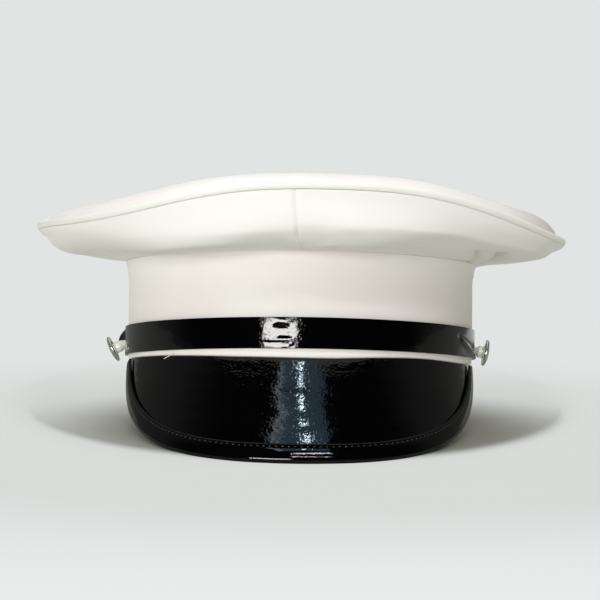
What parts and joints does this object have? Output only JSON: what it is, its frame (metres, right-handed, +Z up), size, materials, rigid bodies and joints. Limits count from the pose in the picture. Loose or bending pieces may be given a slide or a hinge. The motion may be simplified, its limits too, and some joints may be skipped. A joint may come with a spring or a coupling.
{
  "type": "peaked cap",
  "caption": "White cloth peaked cap with a wide puffed crown, corded rim, tall band, black patent chin strap held by domed silver side buttons, and a bound black patent peak.",
  "frame": {"origin": "on the floor that the resting cap stands on, under the middle of its box", "axes": "+Z up from the floor, -Y towards the front of the peak, +X towards the right of the picture; the cap leans back 11.4 degrees, resting on the front of its peak and the back of its band"},
  "size_m": [0.2594, 0.287, 0.1219],
  "materials": {
    "white_cloth": "fine plain weave, matt, slightly creased",
    "black_patent": "glossy patent coat over black leather",
    "silver_metal": "satin silver plate, lightly worn"
  },
  "bodies": {
    "root": {"crown_top": "white_cloth", "rim_welt": "white_cloth", "quarter_left": "white_cloth", "quarter_right": "white_cloth", "band": "white_cloth", "chin_strap": "black_patent", "peak": "black_patent", "peak_binding": "black_patent", "button_left": "silver_metal", "button_right": "silver_metal"}
  },
  "joints": []
}
